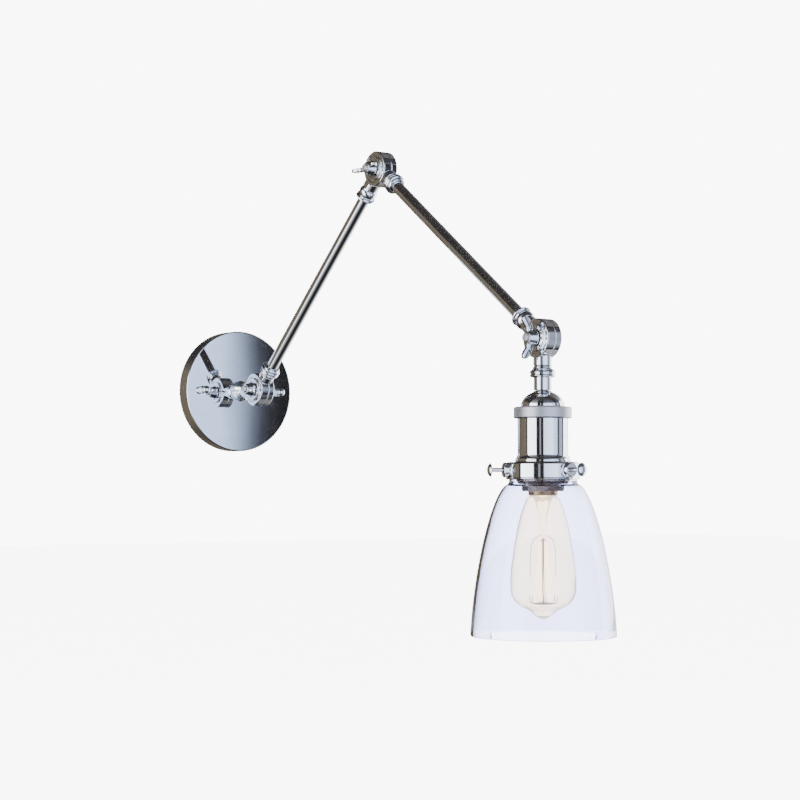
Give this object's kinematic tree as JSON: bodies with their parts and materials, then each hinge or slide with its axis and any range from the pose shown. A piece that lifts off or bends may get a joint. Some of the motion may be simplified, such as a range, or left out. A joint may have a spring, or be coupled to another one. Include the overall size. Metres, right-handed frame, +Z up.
{
  "type": "swing arm wall sconce",
  "caption": "Chrome wall lamp: round wall plate, jointed tube arms on wing-nut knuckles, and a hanging lampholder with a clear glass bell shade and bulb.",
  "frame": {"origin": "middle of the bracket's back face, on the wall, behind the centre of the round wall plate", "axes": "+Z up, +Y into the wall, so the lamp stands out towards -Y; every hinge axis is parallel to X and the wing nuts are on the -X side"},
  "size_m": [0.128, 0.5822, 0.4478],
  "materials": {
    "chrome": "polished chrome plate",
    "satin": "satin nickel",
    "zinc": "zinc plated steel",
    "brass": "plain brass",
    "thread_ring": "nickel plated, dull",
    "shade_glass": "clear, polished",
    "bulb_glass": "clear, faint amber",
    "porcelain": "glazed white",
    "fibre": "vulcanised fibre",
    "black_glass": "black glass insulator",
    "brown_lead": "brown insulation",
    "blue_lead": "blue insulation",
    "white_lead": "white insulation",
    "wire_cap": "moulded, ribbed",
    "filament": "glowing filament",
    "support_wire": "dark wire"
  },
  "bodies": {
    "wall_mount": {"wall_bracket": "zinc", "wall_plate": "chrome", "bracket_stud_left": "zinc", "bracket_stud_right": "zinc", "cap_nut_left": "chrome", "cap_nut_right": "chrome", "earth_screw": "brass", "stem_nipple": "zinc", "nipple_washer": "zinc", "nipple_nut": "zinc", "wall_lead_live": "brown_lead", "wall_lead_neutral": "blue_lead", "wire_nut_live": "wire_cap", "wire_nut_neutral": "wire_cap", "wall_knuckle": "chrome", "wall_clamp_bolt": "zinc", "wall_friction_washer": "fibre"},
    "wall_nut": {"wall_wing_nut": "chrome"},
    "lower_arm": {"lower_arm_knuckle_wall": "chrome", "lower_arm_knuckle_elbow": "chrome", "lower_arm_tube": "chrome", "lower_arm_ferrule_wall": "chrome", "lower_arm_ferrule_elbow": "chrome", "lower_arm_twin_lead": "white_lead", "elbow_clamp_bolt": "zinc", "elbow_friction_washer": "fibre"},
    "elbow_nut": {"elbow_wing_nut": "chrome"},
    "outer_arm": {"outer_arm_knuckle_elbow": "chrome", "outer_arm_knuckle_head": "chrome", "outer_arm_tube": "chrome", "outer_arm_ferrule_elbow": "chrome", "outer_arm_ferrule_head": "chrome", "outer_arm_twin_lead": "white_lead"},
    "lamp_head": {"head_knuckle": "chrome", "neck_collar": "chrome", "socket_dome": "chrome", "socket_cap_ring": "satin", "socket_barrel": "chrome", "shade_gallery": "chrome", "lampholder_body": "porcelain", "screw_shell": "brass", "centre_contact": "brass", "barrel_thread_ring": "thread_ring", "glass_shade": "shade_glass", "socket_lead_live": "brown_lead", "socket_lead_neutral": "blue_lead", "head_clamp_bolt": "zinc", "head_friction_washer": "fibre"},
    "head_nut": {"head_wing_nut": "chrome"},
    "thumb_screw_1": {"thumb_screw_1": "chrome"},
    "thumb_screw_2": {"thumb_screw_2": "chrome"},
    "thumb_screw_3": {"thumb_screw_3": "chrome"},
    "bulb": {"bulb_glass": "bulb_glass", "bulb_screw_base": "brass", "bulb_tip_contact": "black_glass", "bulb_stem": "bulb_glass", "bulb_support_frame": "support_wire", "bulb_filament": "filament"}
  },
  "joints": [
    {"name": "wall_hinge", "type": "hinge", "parent": "wall_mount", "child": "lower_arm", "pos_m": [0, -0.0575, 0], "axis": [1, 0, 0], "range_deg": [-42, 70]},
    {"name": "elbow_hinge", "type": "hinge", "parent": "lower_arm", "child": "outer_arm", "pos_m": [0, -0.27904, 0.20229], "axis": [1, 0, 0], "range_deg": [-75, 35]},
    {"name": "head_hinge", "type": "hinge", "parent": "outer_arm", "child": "lamp_head", "pos_m": [0, -0.52019, 0.02384], "axis": [1, 0, 0], "range_deg": [-100, 55]},
    {"name": "wall_nut_turn", "type": "hinge", "parent": "wall_mount", "child": "wall_nut", "pos_m": [0, -0.0575, 0], "axis": [1, 0, 0], "range_deg": [-180, 180]},
    {"name": "elbow_nut_turn", "type": "hinge", "parent": "lower_arm", "child": "elbow_nut", "pos_m": [0, -0.27904, 0.20229], "axis": [1, 0, 0], "range_deg": [-180, 180]},
    {"name": "head_nut_turn", "type": "hinge", "parent": "lamp_head", "child": "head_nut", "pos_m": [0, -0.52019, 0.02384], "axis": [1, 0, 0], "range_deg": [-180, 180]},
    {"name": "thumb_screw_1_travel", "type": "slide", "parent": "lamp_head", "child": "thumb_screw_1", "axis": [-0.9063, 0.4226, 0], "range_m": [0, 0.004]},
    {"name": "thumb_screw_2_travel", "type": "slide", "parent": "lamp_head", "child": "thumb_screw_2", "axis": [0.0872, -0.9962, 0], "range_m": [0, 0.004]},
    {"name": "thumb_screw_3_travel", "type": "slide", "parent": "lamp_head", "child": "thumb_screw_3", "axis": [0.8192, 0.5736, 0], "range_m": [0, 0.004]},
    {"name": "bulb_turn", "type": "hinge", "parent": "lamp_head", "child": "bulb", "pos_m": [0, -0.52019, -0.15616], "axis": [0, 0, 1], "range_deg": [0, 360]}
  ]
}
